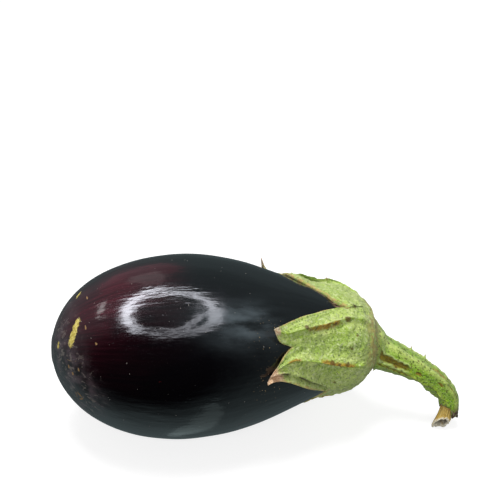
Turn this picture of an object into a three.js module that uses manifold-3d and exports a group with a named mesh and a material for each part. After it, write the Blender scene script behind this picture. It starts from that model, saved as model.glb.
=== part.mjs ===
// A purple eggplant lying on its side, as picked: the fruit, its green calyx, the bent stem, and the
// woody core that shows where the stem was torn off.
// Millimetres, +Z up. The origin is the middle of the small flat that the fruit rests on. +X runs
// from the blossom end to the stem end, and the stem bends down and towards -Y.

import * as THREE from 'three';
import { ParametricGeometry } from 'three/addons/geometries/ParametricGeometry.js';
import { mergeVertices } from 'three/addons/utils/BufferGeometryUtils.js';
import Module from 'manifold-3d';

const { cos, sin, pow, abs, min, max, sqrt, PI } = Math;
const { lerp, smoothstep, degToRad, clamp } = THREE.MathUtils;

// ---------- fruit ----------
const MAX_RADIUS = 44;            // half of the widest diameter
const BLOSSOM_LENGTH = 60.9;      // from the widest section to the blossom end
const STEM_LENGTH = 88.5;         // from the widest section to the end under the calyx
const BLOSSOM_FULLNESS = 2.03;    // exponent of the blossom half's rounded outline, 2 is an ellipse
const TAPER = 1.345;              // radians of cosine that the stem half narrows through
const NECK_SWELL = 0.311;         // how much the neck swells back out, in widest radii
const NECK_ROUNDING = 20;         // exponent that rounds the end under the calyx
const AXIS_DROP = degToRad(1.2);  // the stem end lies this much lower than the blossom end
const AXIS_BOW = 1.9;             // how far the axis bows up by the neck
const FLAT_DEPTH = 0.8;           // how far the belly is pressed flat where it rests
const END_CROWDING = 1.8;         // the surface's steps shorten by this power towards the stem end

// ---------- calyx ----------
const FIT_GAP = 0.5;              // clearance between neighbouring pieces
const EDGE_THICKNESS = 1.0;       // calyx wall at its free edges
const WALL_GAIN = 0.05;           // what the wall gains for each millimetre towards the crease
const SHOULDER_START = 60;        // where the wall begins to thicken into the shoulder
const SHOULDER_FULL = 76;         // where it is all shoulder
const SHOULDER_RADIUS = 26.6;
const SHOULDER_CROWN = 70;        // the shoulder is widest here, and narrows to the crease
const SHOULDER_CURVE = 3.1;       // exponent of that narrowing
const CREASE = { along: 91.5, radius: 14.3 };   // the ring where calyx and stem meet
const RIB_HEIGHT = 1.8;           // fold along the middle of each lobe
const RIB_HALF_WIDTH = 0.45;      // as a share of the half lobe
const RIB_AT_TIP = 0.08;          // share of the rib's rise that is already there at the tip
const TIP_CROWDING = 1.5;         // the columns crowd by this power towards a lobe's tip
const CREASE_CROWDING = 1.3;      // and the rows by this power towards the crease

// Six lobes, in degrees round the fruit from the top towards -Y, and millimetres along its axis from
// the widest section. Each lobe has a fold that starts at rib on the crease, a tip, and a notch
// after it; before and after say how full its two edges are, 1 being straight.
const LOBES = [
  { rib: 30, tip: [46, 41], notch: [57, 50], before: 1.2, after: 1.8 },
  { rib: 90, tip: [78, 39], notch: [119, 69], before: 1.0, after: 0.5 },
  { rib: 150, tip: [152, 50], notch: [181, 75], before: 0.8, after: 0.8 },
  { rib: 210, tip: [213, 46], notch: [240, 70], before: 0.8, after: 0.9 },
  { rib: 270, tip: [268, 44], notch: [296, 73], before: 0.9, after: 0.8 },
  { rib: 330, tip: [316, 38], notch: [375.5, 79], before: 0.8, after: 0.9 },
];

// ---------- stem ----------
// The middle of the stem, as steps away from the middle of the crease.
const STEM_ROUTE = [
  [0, 0, 0], [4.3, -1, -7.1], [11, -3, -10], [22.8, -7, -14.6], [33.5, -10.6, -22.1],
  [37.6, -12.5, -28.5], [37.8, -13.8, -33.2],
];
// The same for the bare core, past the end of the bark.
const CORE_ROUTE = [[36.5, -15.4, -36.2], [33.7, -17.7, -40.6]];
const BARK_RADIUS = 4.9;          // at the torn end
const TAPER_RADIUS = 4.9;         // added to it near the crease, and gone at TAPER_REACH
const TAPER_REACH = 46;
const TAPER_CURVE = 1.3;
const FLARE_RADIUS = 4.5;         // added again at the crease itself
const FLARE_REACH = 3.8;
const TURN_IN = 16;               // the sections leave the crease square to the fruit and turn in here
const STEM_RIBS = 5;
const STEM_RIB_HEIGHT = 0.4;
const STEM_RIB_START = 12;        // full height this far from the crease
const BASE_CROWDING = 1.25;       // the stem's rows crowd by this power towards the crease
const CORE_RADIUS = 3.7;
const SOCKET_DEPTH = 3;           // the bark stands this far proud round the core
const PITH_RADIUS = 1.9;          // hollow middle of the core
const PITH_DEPTH = 4;
const PITH_TAPER = 0.7;           // radius at its bottom, as a share of the mouth's

const CAMERA_SIDE = new THREE.Vector3(0, -1, 0);
const AXIS = new THREE.Vector3(cos(AXIS_DROP), 0, -sin(AXIS_DROP));
const TOP = new THREE.Vector3(sin(AXIS_DROP), 0, cos(AXIS_DROP));

// ---------- the fruit's own shape ----------

// Radius of the fruit at a distance along its axis: a superellipse to the blossom end, and a cosine
// taper that swells a little at the neck and rounds off to the stem end.
function fruitRadius(along) {
  if (along < 0) {
    const share = min(abs(along) / BLOSSOM_LENGTH, 1);
    return MAX_RADIUS * pow(1 - pow(share, BLOSSOM_FULLNESS), 1 / BLOSSOM_FULLNESS);
  }
  const share = min(along / STEM_LENGTH, 1);
  const taper = cos(TAPER * share) + NECK_SWELL * pow(share, 8);
  return MAX_RADIUS * taper * sqrt(max(1 - pow(share, NECK_ROUNDING), 0));
}

// The middle of the section at a distance along the axis, before the fruit is set on its flat.
function sectionCentre(along) {
  const bow = along > 0 ? AXIS_BOW * pow(along / STEM_LENGTH, 2) : 0;
  return new THREE.Vector3().addScaledVector(AXIS, along).addScaledVector(TOP, bow);
}

// A point at a radius from the axis, turned from the top towards -Y.
function roundAxis(along, turn, radius) {
  return sectionCentre(along)
    .addScaledVector(TOP, radius * cos(turn))
    .addScaledVector(CAMERA_SIDE, radius * sin(turn));
}

// The lowest point of the belly says where the flat is, and with it the origin.
function bellyPoint() {
  const steps = 400;
  const reach = STEM_LENGTH / 3;
  let lowest = roundAxis(0, PI, MAX_RADIUS);
  for (let i = 1; i <= steps; i += 1) {
    const along = reach * i / steps;
    const point = roundAxis(along, PI, fruitRadius(along));
    if (point.z < lowest.z) lowest = point;
  }
  return lowest;
}

const BELLY = bellyPoint();
const SEAT = new THREE.Vector3(-BELLY.x, 0, -BELLY.z - FLAT_DEPTH);

// ---------- closed bodies from surfaces ----------

// Joins a surface's seam and poles into one closed body, and drops the faces that a pole flattens.
function closedBody(surface) {
  surface.deleteAttribute('normal');
  surface.deleteAttribute('uv');
  const merged = mergeVertices(surface, 1e-4);
  const corners = merged.getIndex().array;
  const kept = [];
  for (let i = 0; i < corners.length; i += 3) {
    const [a, b, c] = corners.slice(i, i + 3);
    if (a !== b && b !== c && c !== a) kept.push(a, b, c);
  }
  merged.setIndex(kept);
  return merged;
}

// A closed surface: place(turn, step) gives the point at a share of a full turn and a share of the
// way from the first pole to the last.
function closedSurface(place, roundSteps, longSteps) {
  const put = (u, v, target) => target.copy(place(u === 1 ? 0 : u, v)).add(SEAT);
  return closedBody(new ParametricGeometry(put, roundSteps, longSteps));
}

const wasm = await Module();
wasm.setup();

function toSolid(geometry) {
  return new wasm.Manifold(new wasm.Mesh({
    numProp: 3,
    vertProperties: new Float32Array(geometry.getAttribute('position').array),
    triVerts: new Uint32Array(geometry.getIndex().array),
  }));
}

function fromSolid(solid) {
  const mesh = solid.getMesh();
  const geometry = new THREE.BufferGeometry();
  geometry.setAttribute('position', new THREE.BufferAttribute(mesh.vertProperties, 3));
  geometry.setIndex(new THREE.BufferAttribute(mesh.triVerts, 1));
  return geometry;
}

// Takes away everything below the surface that the part lies on.
function cutAtFloor(geometry) {
  const size = 4 * STEM_LENGTH;
  const box = new THREE.BoxGeometry(size, size, size).translate(0, 0, -size / 2);
  return fromSolid(toSolid(geometry).subtract(toSolid(closedBody(box))));
}

// ---------- fruit ----------

const FRUIT_ROUND_STEPS = 60;
const FRUIT_LONG_STEPS = 36;

// Distance along the axis for a share of the way from the blossom end to the stem end. The steps
// shorten towards both ends, where the outline turns.
function fruitStation(share) {
  if (share < 0.5) return -BLOSSOM_LENGTH * cos(PI * share);
  return STEM_LENGTH * (1 - pow(2 - 2 * share, END_CROWDING));
}

function makeFruit() {
  const place = (turn, share) => {
    const along = fruitStation(share);
    return roundAxis(along, 2 * PI * turn, fruitRadius(along));
  };
  return cutAtFloor(closedSurface(place, FRUIT_ROUND_STEPS, FRUIT_LONG_STEPS));
}

// ---------- calyx ----------

const HALF_LOBE_STEPS = 5;
const CALYX_ROUND_STEPS = 2 * LOBES.length * HALF_LOBE_STEPS;
const CALYX_SECTIONS = { inner: 9, edge: 1, outer: 11, cap: 1 };
const CALYX_LONG_STEPS = Object.values(CALYX_SECTIONS).reduce((sum, steps) => sum + steps);

// Outer radius of the calyx without its folds: a thin skin on the fruit that turns into a fleshy
// shoulder, which narrows to the crease.
function calyxRadius(along) {
  const wall = EDGE_THICKNESS + WALL_GAIN * max(along - LOBES[0].tip[1], 0);
  const skin = fruitRadius(along) + FIT_GAP + wall;
  const past = max(along - SHOULDER_CROWN, 0) / (CREASE.along - SHOULDER_CROWN);
  const shoulder = SHOULDER_RADIUS - (SHOULDER_RADIUS - CREASE.radius) * pow(past, SHOULDER_CURVE);
  return lerp(skin, shoulder, smoothstep(along, SHOULDER_START, SHOULDER_FULL));
}

// One column of the calyx, a share of the way round: where it starts on the crease, where it ends on
// the free edge, and how near it is to its lobe's fold.
function calyxColumn(round) {
  const halves = 2 * LOBES.length;
  const half = Math.floor(round * halves) % halves;
  const within = round * halves - Math.floor(round * halves);
  const index = Math.floor(half / 2);
  const lobe = LOBES[index];
  const before = half % 2 === 1;
  const owner = before ? LOBES[(index + 1) % LOBES.length] : lobe;
  const lap = before && index === LOBES.length - 1 ? 360 : 0;
  const away = before ? 1 - within : within;
  const spread = pow(away, TIP_CROWDING);
  const fullness = before ? owner.before : owner.after;
  const tipTurn = owner.tip[0] + lap;
  const side = before ? -1 : 1;
  return {
    startTurn: degToRad(owner.rib + lap + side * away * 180 / LOBES.length),
    endTurn: degToRad(lerp(tipTurn, lobe.notch[0], spread)),
    endAlong: lerp(owner.tip[1], lobe.notch[1], pow(spread, fullness)),
    fold: max(1 - away / RIB_HALF_WIDTH, 0),
  };
}

// Turn of a column at a distance along the axis: it swings over from the crease to the free edge.
function columnTurn(column, along) {
  const way = clamp((CREASE.along - along) / (CREASE.along - column.endAlong), 0, 1);
  return lerp(column.startTurn, column.endTurn, smoothstep(way, 0, 1));
}

// The calyx lines the fruit from the end under the stem to its free edge, and comes back outside.
function calyxPoint(round, way) {
  const column = calyxColumn(round);
  const { inner, edge, outer } = CALYX_SECTIONS;
  const step = Math.round(way * CALYX_LONG_STEPS);
  if (step <= inner) {
    const edgeShare = pow(1 - column.endAlong / STEM_LENGTH, 1 / END_CROWDING);
    const share = edgeShare * step / inner;
    const along = STEM_LENGTH * (1 - pow(share, END_CROWDING));
    const radius = step === 0 ? 0 : fruitRadius(along) + FIT_GAP;
    const clear = 2 * FIT_GAP * pow(along / STEM_LENGTH, NECK_ROUNDING / 2);
    return roundAxis(along + clear, columnTurn(column, along), radius);
  }
  if (step === CALYX_LONG_STEPS) return sectionCentre(CREASE.along);
  const back = (step - inner - edge) / outer;
  const along = lerp(column.endAlong, CREASE.along, 1 - pow(1 - back, CREASE_CROWDING));
  const foldWindow = sin(PI * lerp(RIB_AT_TIP, 1, back));
  const radius = calyxRadius(along) + RIB_HEIGHT * column.fold * foldWindow;
  return roundAxis(along, columnTurn(column, along), radius);
}

function makeCalyx() {
  return closedSurface(calyxPoint, CALYX_ROUND_STEPS, CALYX_LONG_STEPS);
}

// ---------- stem and core ----------

const STEM_ROUND_STEPS = 30;
const STEM_LONG_STEPS = 28;
const CORE_ROUND_STEPS = 18;
const CORE_LONG_STEPS = 10;

const creaseMiddle = sectionCentre(CREASE.along + FIT_GAP);

function routePoints(route) {
  return route.map(([x, y, z]) => new THREE.Vector3(x, y, z).add(creaseMiddle));
}

function smoothCurve(points) {
  return new THREE.CatmullRomCurve3(points, false, 'centripetal');
}

const stemCurve = smoothCurve(routePoints(STEM_ROUTE));
const stemLength = stemCurve.getLength();
const barkEnd = stemCurve.getPointAt(1);
const barkDirection = stemCurve.getTangentAt(1);
const coreFoot = barkEnd.clone().addScaledVector(barkDirection, FIT_GAP - SOCKET_DEPTH);
const coreCurve = smoothCurve([coreFoot, barkEnd, ...routePoints(CORE_ROUTE)]);

// A point beside a curve, in the section square to its direction. The turn counts from the top
// towards -Y, as on the fruit.
function roundCurve(centre, direction, turn, radius) {
  const side = CAMERA_SIDE.clone().addScaledVector(direction, -CAMERA_SIDE.dot(direction)).normalize();
  const rise = new THREE.Vector3().crossVectors(side, direction);
  return centre.clone().addScaledVector(rise, radius * cos(turn)).addScaledVector(side, radius * sin(turn));
}

function stemRadius(distance, turn) {
  const taper = TAPER_RADIUS * pow(max(1 - distance / TAPER_REACH, 0), TAPER_CURVE);
  const flare = FLARE_RADIUS * Math.exp(-distance / FLARE_REACH);
  const ribs = STEM_RIB_HEIGHT * cos(STEM_RIBS * turn) * smoothstep(distance, 0, STEM_RIB_START);
  return BARK_RADIUS + taper + flare + ribs;
}

// Direction that the sections of the stem are square to.
function stemDirection(share) {
  const turned = smoothstep(share * stemLength, 0, TURN_IN);
  return AXIS.clone().lerp(stemCurve.getTangentAt(share), turned).normalize();
}

// The bark: a disc on the crease, the tapering tube, and the socket that the core comes out of.
function stemPoint(round, share) {
  const turn = 2 * PI * round;
  const sideSteps = STEM_LONG_STEPS - 3;
  const step = Math.round(share * STEM_LONG_STEPS);
  const reach = pow(clamp((step - 1) / sideSteps, 0, 1), BASE_CROWDING);
  const centre = stemCurve.getPointAt(reach);
  const direction = stemDirection(reach);
  if (step === 0) return centre;
  if (step <= sideSteps + 1) {
    return roundCurve(centre, direction, turn, stemRadius(reach * stemLength, turn));
  }
  const floor = centre.addScaledVector(direction, -SOCKET_DEPTH);
  const radius = step === STEM_LONG_STEPS ? 0 : CORE_RADIUS + FIT_GAP;
  return roundCurve(floor, direction, turn, radius);
}

// The woody core: a short rod from the bottom of the socket, with a hollow pith at its torn end.
function corePoint(round, share) {
  const turn = 2 * PI * round;
  const step = Math.round(share * CORE_LONG_STEPS);
  const sideSteps = CORE_LONG_STEPS - 4;
  const reach = clamp((step - 1) / sideSteps, 0, 1);
  const centre = coreCurve.getPointAt(reach);
  const direction = coreCurve.getTangentAt(reach);
  if (step === 0) return centre;
  if (step <= sideSteps + 1) return roundCurve(centre, direction, turn, CORE_RADIUS);
  if (step === sideSteps + 2) return roundCurve(centre, direction, turn, PITH_RADIUS);
  const floor = centre.addScaledVector(direction, -PITH_DEPTH);
  const radius = step === CORE_LONG_STEPS ? 0 : PITH_RADIUS * PITH_TAPER;
  return roundCurve(floor, direction, turn, radius);
}

function makeStem() {
  return closedSurface(stemPoint, STEM_ROUND_STEPS, STEM_LONG_STEPS);
}

function makeCore() {
  return closedSurface(corePoint, CORE_ROUND_STEPS, CORE_LONG_STEPS);
}

// ---------- assembly ----------

const skins = {
  fruit: new THREE.MeshStandardMaterial({ color: 0x1a0d1c, roughness: 0.22, metalness: 0 }),
  calyx: new THREE.MeshStandardMaterial({ color: 0x8ea856, roughness: 0.75, metalness: 0 }),
  stem: new THREE.MeshStandardMaterial({ color: 0x7f962f, roughness: 0.75, metalness: 0 }),
  wood: new THREE.MeshStandardMaterial({ color: 0xb09c5a, roughness: 0.85, metalness: 0 }),
};

function addPiece(group, name, geometry, material) {
  const piece = new THREE.Mesh(geometry, material);
  piece.name = name;
  group.add(piece);
}

const eggplant = new THREE.Group();
addPiece(eggplant, 'fruit', makeFruit(), skins.fruit);
addPiece(eggplant, 'calyx', makeCalyx(), skins.calyx);
addPiece(eggplant, 'stem', makeStem(), skins.stem);
addPiece(eggplant, 'stem_core', makeCore(), skins.wood);

export default eggplant;
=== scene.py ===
"""An eggplant lying on its side: a waxed purple fruit, a felted green calyx with six folded lobes, a
ribbed stem, and the woody core where the stem was torn off. Lengths below are in millimetres unless a
comment says so."""
import math

import bpy
import numpy as np
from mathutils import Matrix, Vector


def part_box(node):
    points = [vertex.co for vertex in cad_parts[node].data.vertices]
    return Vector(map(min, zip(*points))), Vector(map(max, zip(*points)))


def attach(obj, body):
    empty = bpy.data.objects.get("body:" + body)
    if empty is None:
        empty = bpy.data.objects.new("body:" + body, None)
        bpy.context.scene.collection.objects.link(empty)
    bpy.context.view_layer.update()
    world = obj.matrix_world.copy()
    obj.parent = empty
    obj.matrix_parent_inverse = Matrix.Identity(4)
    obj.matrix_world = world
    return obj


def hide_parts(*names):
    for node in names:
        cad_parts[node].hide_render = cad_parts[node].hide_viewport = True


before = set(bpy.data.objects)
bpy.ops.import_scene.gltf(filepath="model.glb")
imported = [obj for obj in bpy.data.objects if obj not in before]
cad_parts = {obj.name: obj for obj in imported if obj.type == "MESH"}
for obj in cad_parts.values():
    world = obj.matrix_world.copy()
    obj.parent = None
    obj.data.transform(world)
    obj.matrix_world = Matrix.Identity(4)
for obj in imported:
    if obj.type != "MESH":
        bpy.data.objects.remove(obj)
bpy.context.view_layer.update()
MM = 0.001

# -------------------- driving sizes
# The fruit, measured along its axis from the widest section and out from the axis.
MAX_RADIUS = 44.0
BLOSSOM_LENGTH = 60.9
STEM_LENGTH = 88.5
BLOSSOM_FULLNESS = 2.03
TAPER = 1.345
NECK_SWELL = 0.311
NECK_ROUNDING = 20
AXIS_DROP = math.radians(1.2)
AXIS_BOW = 1.9

# The calyx.
CREASE_ALONG = 91.5
CREASE_RADIUS = 14.3
SHOULDER_RADIUS = 25.3
SHOULDER_CROWN = 70.0
SHOULDER_CURVE = 2.7
SHOULDER_SPAN = (56.0, 76.0)
SKIN_GAP = 0.15
EDGE_WALL = 0.9
WALL_START = 40        # past this the wall grows by WALL_GAIN a millimetre
WALL_GAIN = 0.05

# Each lobe: the path of its fold from the crease to the tip, then its outline from the tip to the notch on
# either side, as degrees round the fruit from the top towards -Y and millimetres along its axis. lift is
# how far its free edge stands off the fruit, and curl how far its tip does. height is how tall its fold is,
# fade the stretch along the axis over which the fold sinks towards the crease, and keel how tall the sharp
# line on it is. hem is how much either edge is rolled, before and after the fold. dry is how long the dead
# tip is and pale how white it is. scars are stretches along the axis where the fold is rubbed to cork.
COMMON = dict(fade=(66, 79), keel=1.2)
LOBES = [
    dict(COMMON, fold=[(30, 91.5), (31, 78), (38, 67), (44, 55), (47, 47), (45, 41.6)],
         before=[(41, 46), (35.5, 52), (26, 62), (17.5, 71), (15.5, 79)],
         after=[(52, 44), (57, 50)],
         lift=0.9, curl=3.6, height=2.3, hem=(0.15, 0.0), dry=3.0, pale=1.0, scars=[(58, 73)]),
    dict(COMMON, fold=[(90, 91.5), (81, 76), (74, 66), (68, 56), (67, 49), (71, 43.5), (80, 38.4)],
         before=[(74.5, 41), (69.5, 43.6), (63.5, 46), (57, 50)],
         after=[(79.5, 42.5), (82.5, 48), (93, 56.5), (118, 69)],
         lift=0.6, curl=0.9, height=2.4, hem=(0.0, 1.4), dry=7.5, pale=0.0, scars=[(48, 54), (64, 80)]),
    dict(COMMON, fold=[(150, 91.5), (157, 74), (171, 54)],
         before=[(160, 60), (145, 65), (131, 67.7), (118, 69)],
         after=[(174, 59), (178, 66), (183, 75)],
         lift=0.2, curl=0.2, height=2.0, hem=(0.0, 0.3), dry=2.5, pale=0.3, scars=[(60, 72)]),
    dict(COMMON, fold=[(210, 91.5), (212, 70), (213, 46)],
         before=[(205, 52), (193, 63), (183, 75)],
         after=[(221, 53), (231, 61), (240, 70)],
         lift=0.7, curl=1.6, height=2.4, hem=(0.5, 0.6), dry=4.0, pale=0.4, scars=[(52, 58), (66, 78)]),
    dict(COMMON, fold=[(270, 91.5), (264, 72), (257, 47)],
         before=[(250, 52), (244, 60), (240, 70)],
         after=[(268, 53), (283, 63), (297, 73)],
         lift=0.8, curl=2.4, height=2.6, hem=(0.6, 0.4), dry=4.5, pale=0.1, scars=[(56, 74)]),
    dict(fold=[(330, 91.5), (325, 76), (316, 64), (302, 54), (296, 46.5), (311, 40)],
         before=[(296, 42), (286, 48.5), (288, 60), (297, 73)],
         after=[(304, 43.5), (307, 48.5), (322, 51.8), (336, 56), (342, 62.4), (350, 68), (362, 72),
                (375.5, 79)],
         lift=0.25, curl=4.4, height=4.3, fade=(70, 86), keel=0.3, hem=(0.2, 0.0), dry=3.6, pale=1.0,
         scars=[]),
]

# The stem's middle, as steps away from the middle of the crease, and the bare core past the bark.
STEM_ROUTE = [(0, 0, 0), (4.3, -1, -7.1), (11, -3, -10), (22.8, -7, -14.6), (33.5, -10.6, -22.1),
              (37.6, -12.5, -28.5), (37.8, -13.8, -33.2)]
CORE_ROUTE = [(37.4, -12.6, -29.5), (37.0, -14.1, -33.0), (36.0, -15.4, -36.2), (33.7, -17.6, -40.3)]
BARK_RADIUS = 4.9
STEM_TAPER = 4.9
STEM_TAPER_REACH = 46.0
STEM_FLARE = 4.5
STEM_FLARE_REACH = 3.8
STEM_TURN_IN = 16.0
CORE_RADIUS = 3.35
PITH_RADIUS = 2.1

AXIS = np.array([math.cos(AXIS_DROP), 0, -math.sin(AXIS_DROP)])
TOP = np.array([math.sin(AXIS_DROP), 0, math.cos(AXIS_DROP)])
NEAR = np.array([0.0, -1.0, 0.0])

# The middle of the widest section, from the fruit's box: the blossom end is its lowest X, and the top its
# highest Z.
fruit_low, fruit_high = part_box("fruit")
SEAT = np.array([fruit_low.x / MM + BLOSSOM_LENGTH * math.cos(AXIS_DROP), 0.0,
                 fruit_high.z / MM - MAX_RADIUS])


# -------------------- numbers and curves
WAVES = 28             # plane waves in a ripple
CURVE_STEPS = 400      # points a spline is sampled at to measure its length


def smooth(low, high, x):
    """0 below low and 1 above high, with an S between them."""
    t = np.clip((x - low) / (high - low), 0, 1)
    return t * t * (3 - 2 * t)


def mix(a, b, share):
    """a at share 0, b at share 1."""
    return a + (b - a) * share


def bump(distance, width):
    """A bell that is 1 at distance 0 and fades over about width."""
    return np.exp(-(distance / width) ** 2)


def apart(turn, middle):
    """Angles as turns either way from a middle one, from -pi to pi."""
    return np.angle(np.exp(1j * (turn - middle)))


def turns(count):
    """Even turns once round a circle, in radians, as one row."""
    return np.linspace(0, 2 * np.pi, count, endpoint=False)[None, :]


def size_of(vectors):
    """The lengths of vectors that lie along the last axis."""
    return np.linalg.norm(vectors, axis=-1)


def unit(vectors):
    """The same vectors, each 1 long."""
    return vectors / np.linalg.norm(vectors, axis=-1, keepdims=True)


def run(points):
    """How far along its line each point lies. A line goes down the first axis."""
    steps = size_of(np.diff(points, axis=0))
    return np.concatenate([0 * steps[:1], np.cumsum(steps, axis=0)])


def padded(rows, before, after):
    """Rows with the first one repeated before them and the last one after them."""
    return np.concatenate([np.repeat(rows[:1], before, 0), rows, np.repeat(rows[-1:], after, 0)])


def round_grain(down, radius, turn):
    """Places for patterns that run lengthwise: how far down a round piece, and a circle round it."""
    return np.stack(np.broadcast_arrays(down, radius * np.cos(turn), radius * np.sin(turn)), -1)


def ripple(points, size, seed):
    """Smooth random relief of about -1 to 1: a sum of plane waves in random directions, with wavelengths
    near size."""
    random = np.random.default_rng(seed)
    directions = unit(random.normal(size=(WAVES, 3)))
    waves = directions * (2 * np.pi / size) * random.uniform(0.7, 1.4, (WAVES, 1))
    phases = random.uniform(0, 2 * np.pi, WAVES)
    return np.sin(points @ waves.T + phases).sum(-1) * math.sqrt(2 / WAVES) / 1.6


def spline(points, share):
    """Points at shares of the length of a smooth curve through the given ones: a Catmull-Rom spline on the
    chord lengths, sampled finely and read back by its length."""
    knots = np.asarray(points, float)
    chords = run(knots)
    slopes = np.gradient(knots, chords, axis=0)
    fine = np.linspace(0, chords[-1], CURVE_STEPS)
    span = np.clip(np.searchsorted(chords, fine, side="right") - 1, 0, len(knots) - 2)
    width = chords[span + 1] - chords[span]
    t = ((fine - chords[span]) / width)[:, None]
    width = width[:, None]
    start, end = knots[span], knots[span + 1]
    curve = (start * (2 * t**3 - 3 * t**2 + 1) + end * (3 * t**2 - 2 * t**3)
             + slopes[span] * width * (t**3 - 2 * t**2 + t) + slopes[span + 1] * width * (t**3 - t**2))
    length = run(curve)
    wanted = np.asarray(share, float) * length[-1]
    return np.stack([np.interp(wanted, length, curve[:, k]) for k in range(knots.shape[1])], -1), length[-1]


# -------------------- the fruit's own shape
def fruit_radius(along):
    """Out from the axis: a superellipse to the blossom end, and to the stem end a cosine that narrows,
    swells a little at the neck and rounds off."""
    blossom = 1 - np.clip(-along / BLOSSOM_LENGTH, 0, 1) ** BLOSSOM_FULLNESS
    share = np.clip(along / STEM_LENGTH, 0, 1)
    taper = np.cos(TAPER * share) + NECK_SWELL * share**8
    stem = taper * np.sqrt(1 - share**NECK_ROUNDING)
    return MAX_RADIUS * np.where(along < 0, blossom ** (1 / BLOSSOM_FULLNESS), stem)


def round_axis(along, turn, radius):
    """The point at a distance along the axis and a radius from it, turned in radians from the top to -Y."""
    along, turn, radius = np.broadcast_arrays(along, turn, radius)
    bow = AXIS_BOW * np.clip(along / STEM_LENGTH, 0, None) ** 2
    return (SEAT + along[..., None] * AXIS + (bow + radius * np.cos(turn))[..., None] * TOP
            + (radius * np.sin(turn))[..., None] * NEAR)


# -------------------- meshes
def show(name, data, place=(0, 0, 0), hidden=()):
    """A new object in the scene that holds the data at a place, hidden from some kinds of ray."""
    made = bpy.data.objects.new(name, data)
    made.location = Vector(place) * MM
    for ray in hidden:
        setattr(made, "visible_" + ray, False)
    bpy.context.scene.collection.objects.link(made)
    return made


def closed_skin(name, rows, marks, material, replaced=None):
    """A closed mesh from rows of points round a piece, in millimetres. The first and the last row each shrink
    to one point. marks are values kept on the points for the material: one number or three a point."""
    count, around = rows.shape[:2]
    middle = rows[1:-1].reshape(-1, 3)
    points = np.concatenate([rows[:1].mean(1), middle, rows[-1:].mean(1)]) * MM
    ring = np.arange(around)
    after = (ring + 1) % around
    base = 1 + np.arange(count - 3)[:, None] * around
    quads = np.stack([base + ring, base + after, base + around + after, base + around + ring], -1)
    quads = quads.reshape(-1, 4)
    last = len(points) - 1
    first_fan = np.stack([np.zeros(around, int), 1 + after, 1 + ring], -1)
    last_fan = np.stack([np.full(around, last), last - around + ring, last - around + after], -1)
    corners = np.concatenate([first_fan.ravel(), quads.ravel(), last_fan.ravel()])
    sizes = np.concatenate([np.full(around, 3), np.full(len(quads), 4), np.full(around, 3)])
    mesh = bpy.data.meshes.new(name)
    mesh.vertices.add(len(points))
    mesh.vertices.foreach_set("co", points.astype(np.float32).ravel())
    mesh.loops.add(len(corners))
    mesh.loops.foreach_set("vertex_index", corners.astype(np.int32))
    mesh.polygons.add(len(sizes))
    starts = np.concatenate([[0], np.cumsum(sizes)[:-1]])
    mesh.polygons.foreach_set("loop_start", starts.astype(np.int32))
    mesh.update(calc_edges=True)
    mesh.validate()
    mesh.polygons.foreach_set("use_smooth", np.ones(len(mesh.polygons), bool))
    for mark, values in marks.items():
        if values.ndim == 2:
            values = np.broadcast_to(values, (count, around))[..., None]
        wide = values.shape[-1]
        flat = np.concatenate([values[:1].mean(1), values[1:-1].reshape(-1, wide), values[-1:].mean(1)])
        kind, field = ("FLOAT_VECTOR", "vector") if wide == 3 else ("FLOAT", "value")
        attribute = mesh.attributes.new(mark, kind, "POINT")
        attribute.data.foreach_set(field, flat.astype(np.float32).ravel())
    mesh.materials.append(material)
    piece = show(name, mesh)
    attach(piece, "root")
    if replaced:
        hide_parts(replaced)


# -------------------- materials
def colour(code):
    """An sRGB hex colour as linear red, green, blue and full alpha."""
    parts = [int(code[i:i + 2], 16) / 255 for i in (1, 3, 5)]
    return [p / 12.92 if p <= 0.04045 else ((p + 0.055) / 1.055) ** 2.4 for p in parts] + [1.0]


def fill(node, inputs):
    """Links each input socket of a node to the socket given for it, or sets it to the value given."""
    for key, value in inputs.items():
        if isinstance(value, bpy.types.NodeSocket):
            node.id_data.links.new(value, node.inputs[key])
        else:
            node.inputs[key].default_value = value


def add(tree, kind, inputs=None, out=0, **settings):
    """Adds a shader node, sets its own settings, fills its inputs, and returns one of its outputs."""
    made = tree.nodes.new("ShaderNode" + kind)
    for key, value in settings.items():
        setattr(made, key, value)
    fill(made, inputs or {})
    return made.outputs[out]


def material(name, *marks):
    """An empty material: its Principled shader, its tree, the piece's own coordinates in metres, and the
    marks that the mesh keeps on its points, of which grain has three numbers."""
    made = bpy.data.materials.new(name)
    made.use_nodes = True
    tree = made.node_tree
    coords = add(tree, "TexCoord", out="Object")
    kept = {mark: add(tree, "Attribute", out="Vector" if mark == "grain" else "Fac", attribute_name=mark)
            for mark in marks}
    return made, tree.nodes["Principled BSDF"], tree, coords, kept


def mask(coords, size, low, high, squash=1, detail=3.0, offset=0.0, distortion=0.0):
    """Cloudy noise whose features are about size millimetres, cut to 0 below low and 1 above high. A squash
    below 1 makes them longer along X."""
    tree = coords.id_data
    scale = [share / (size * MM) for share in (squash, 1, 1)]
    placed = add(tree, "Mapping", {"Vector": coords, "Scale": scale, "Location": (offset,) * 3})
    cloud = add(tree, "TexNoise", {"Vector": placed, "Scale": 1.0, "Detail": detail,
                                   "Distortion": distortion})
    return add(tree, "MapRange", {"Value": cloud, "From Min": low, "From Max": high},
               interpolation_type="SMOOTHSTEP")


def dots(coords, size, radius, offset=0.0):
    """Round dots, one to a cell of about size millimetres, radius of a cell wide: 1 inside and 0 outside."""
    tree = coords.id_data
    scale = (1 / (size * MM),) * 3
    placed = add(tree, "Mapping", {"Vector": coords, "Scale": scale, "Location": (offset,) * 3})
    cells = add(tree, "TexVoronoi", {"Vector": placed, "Scale": 1.0})
    return add(tree, "MapRange", {"Value": cells, "From Min": radius, "From Max": radius * 0.6},
               interpolation_type="SMOOTHSTEP")


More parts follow.
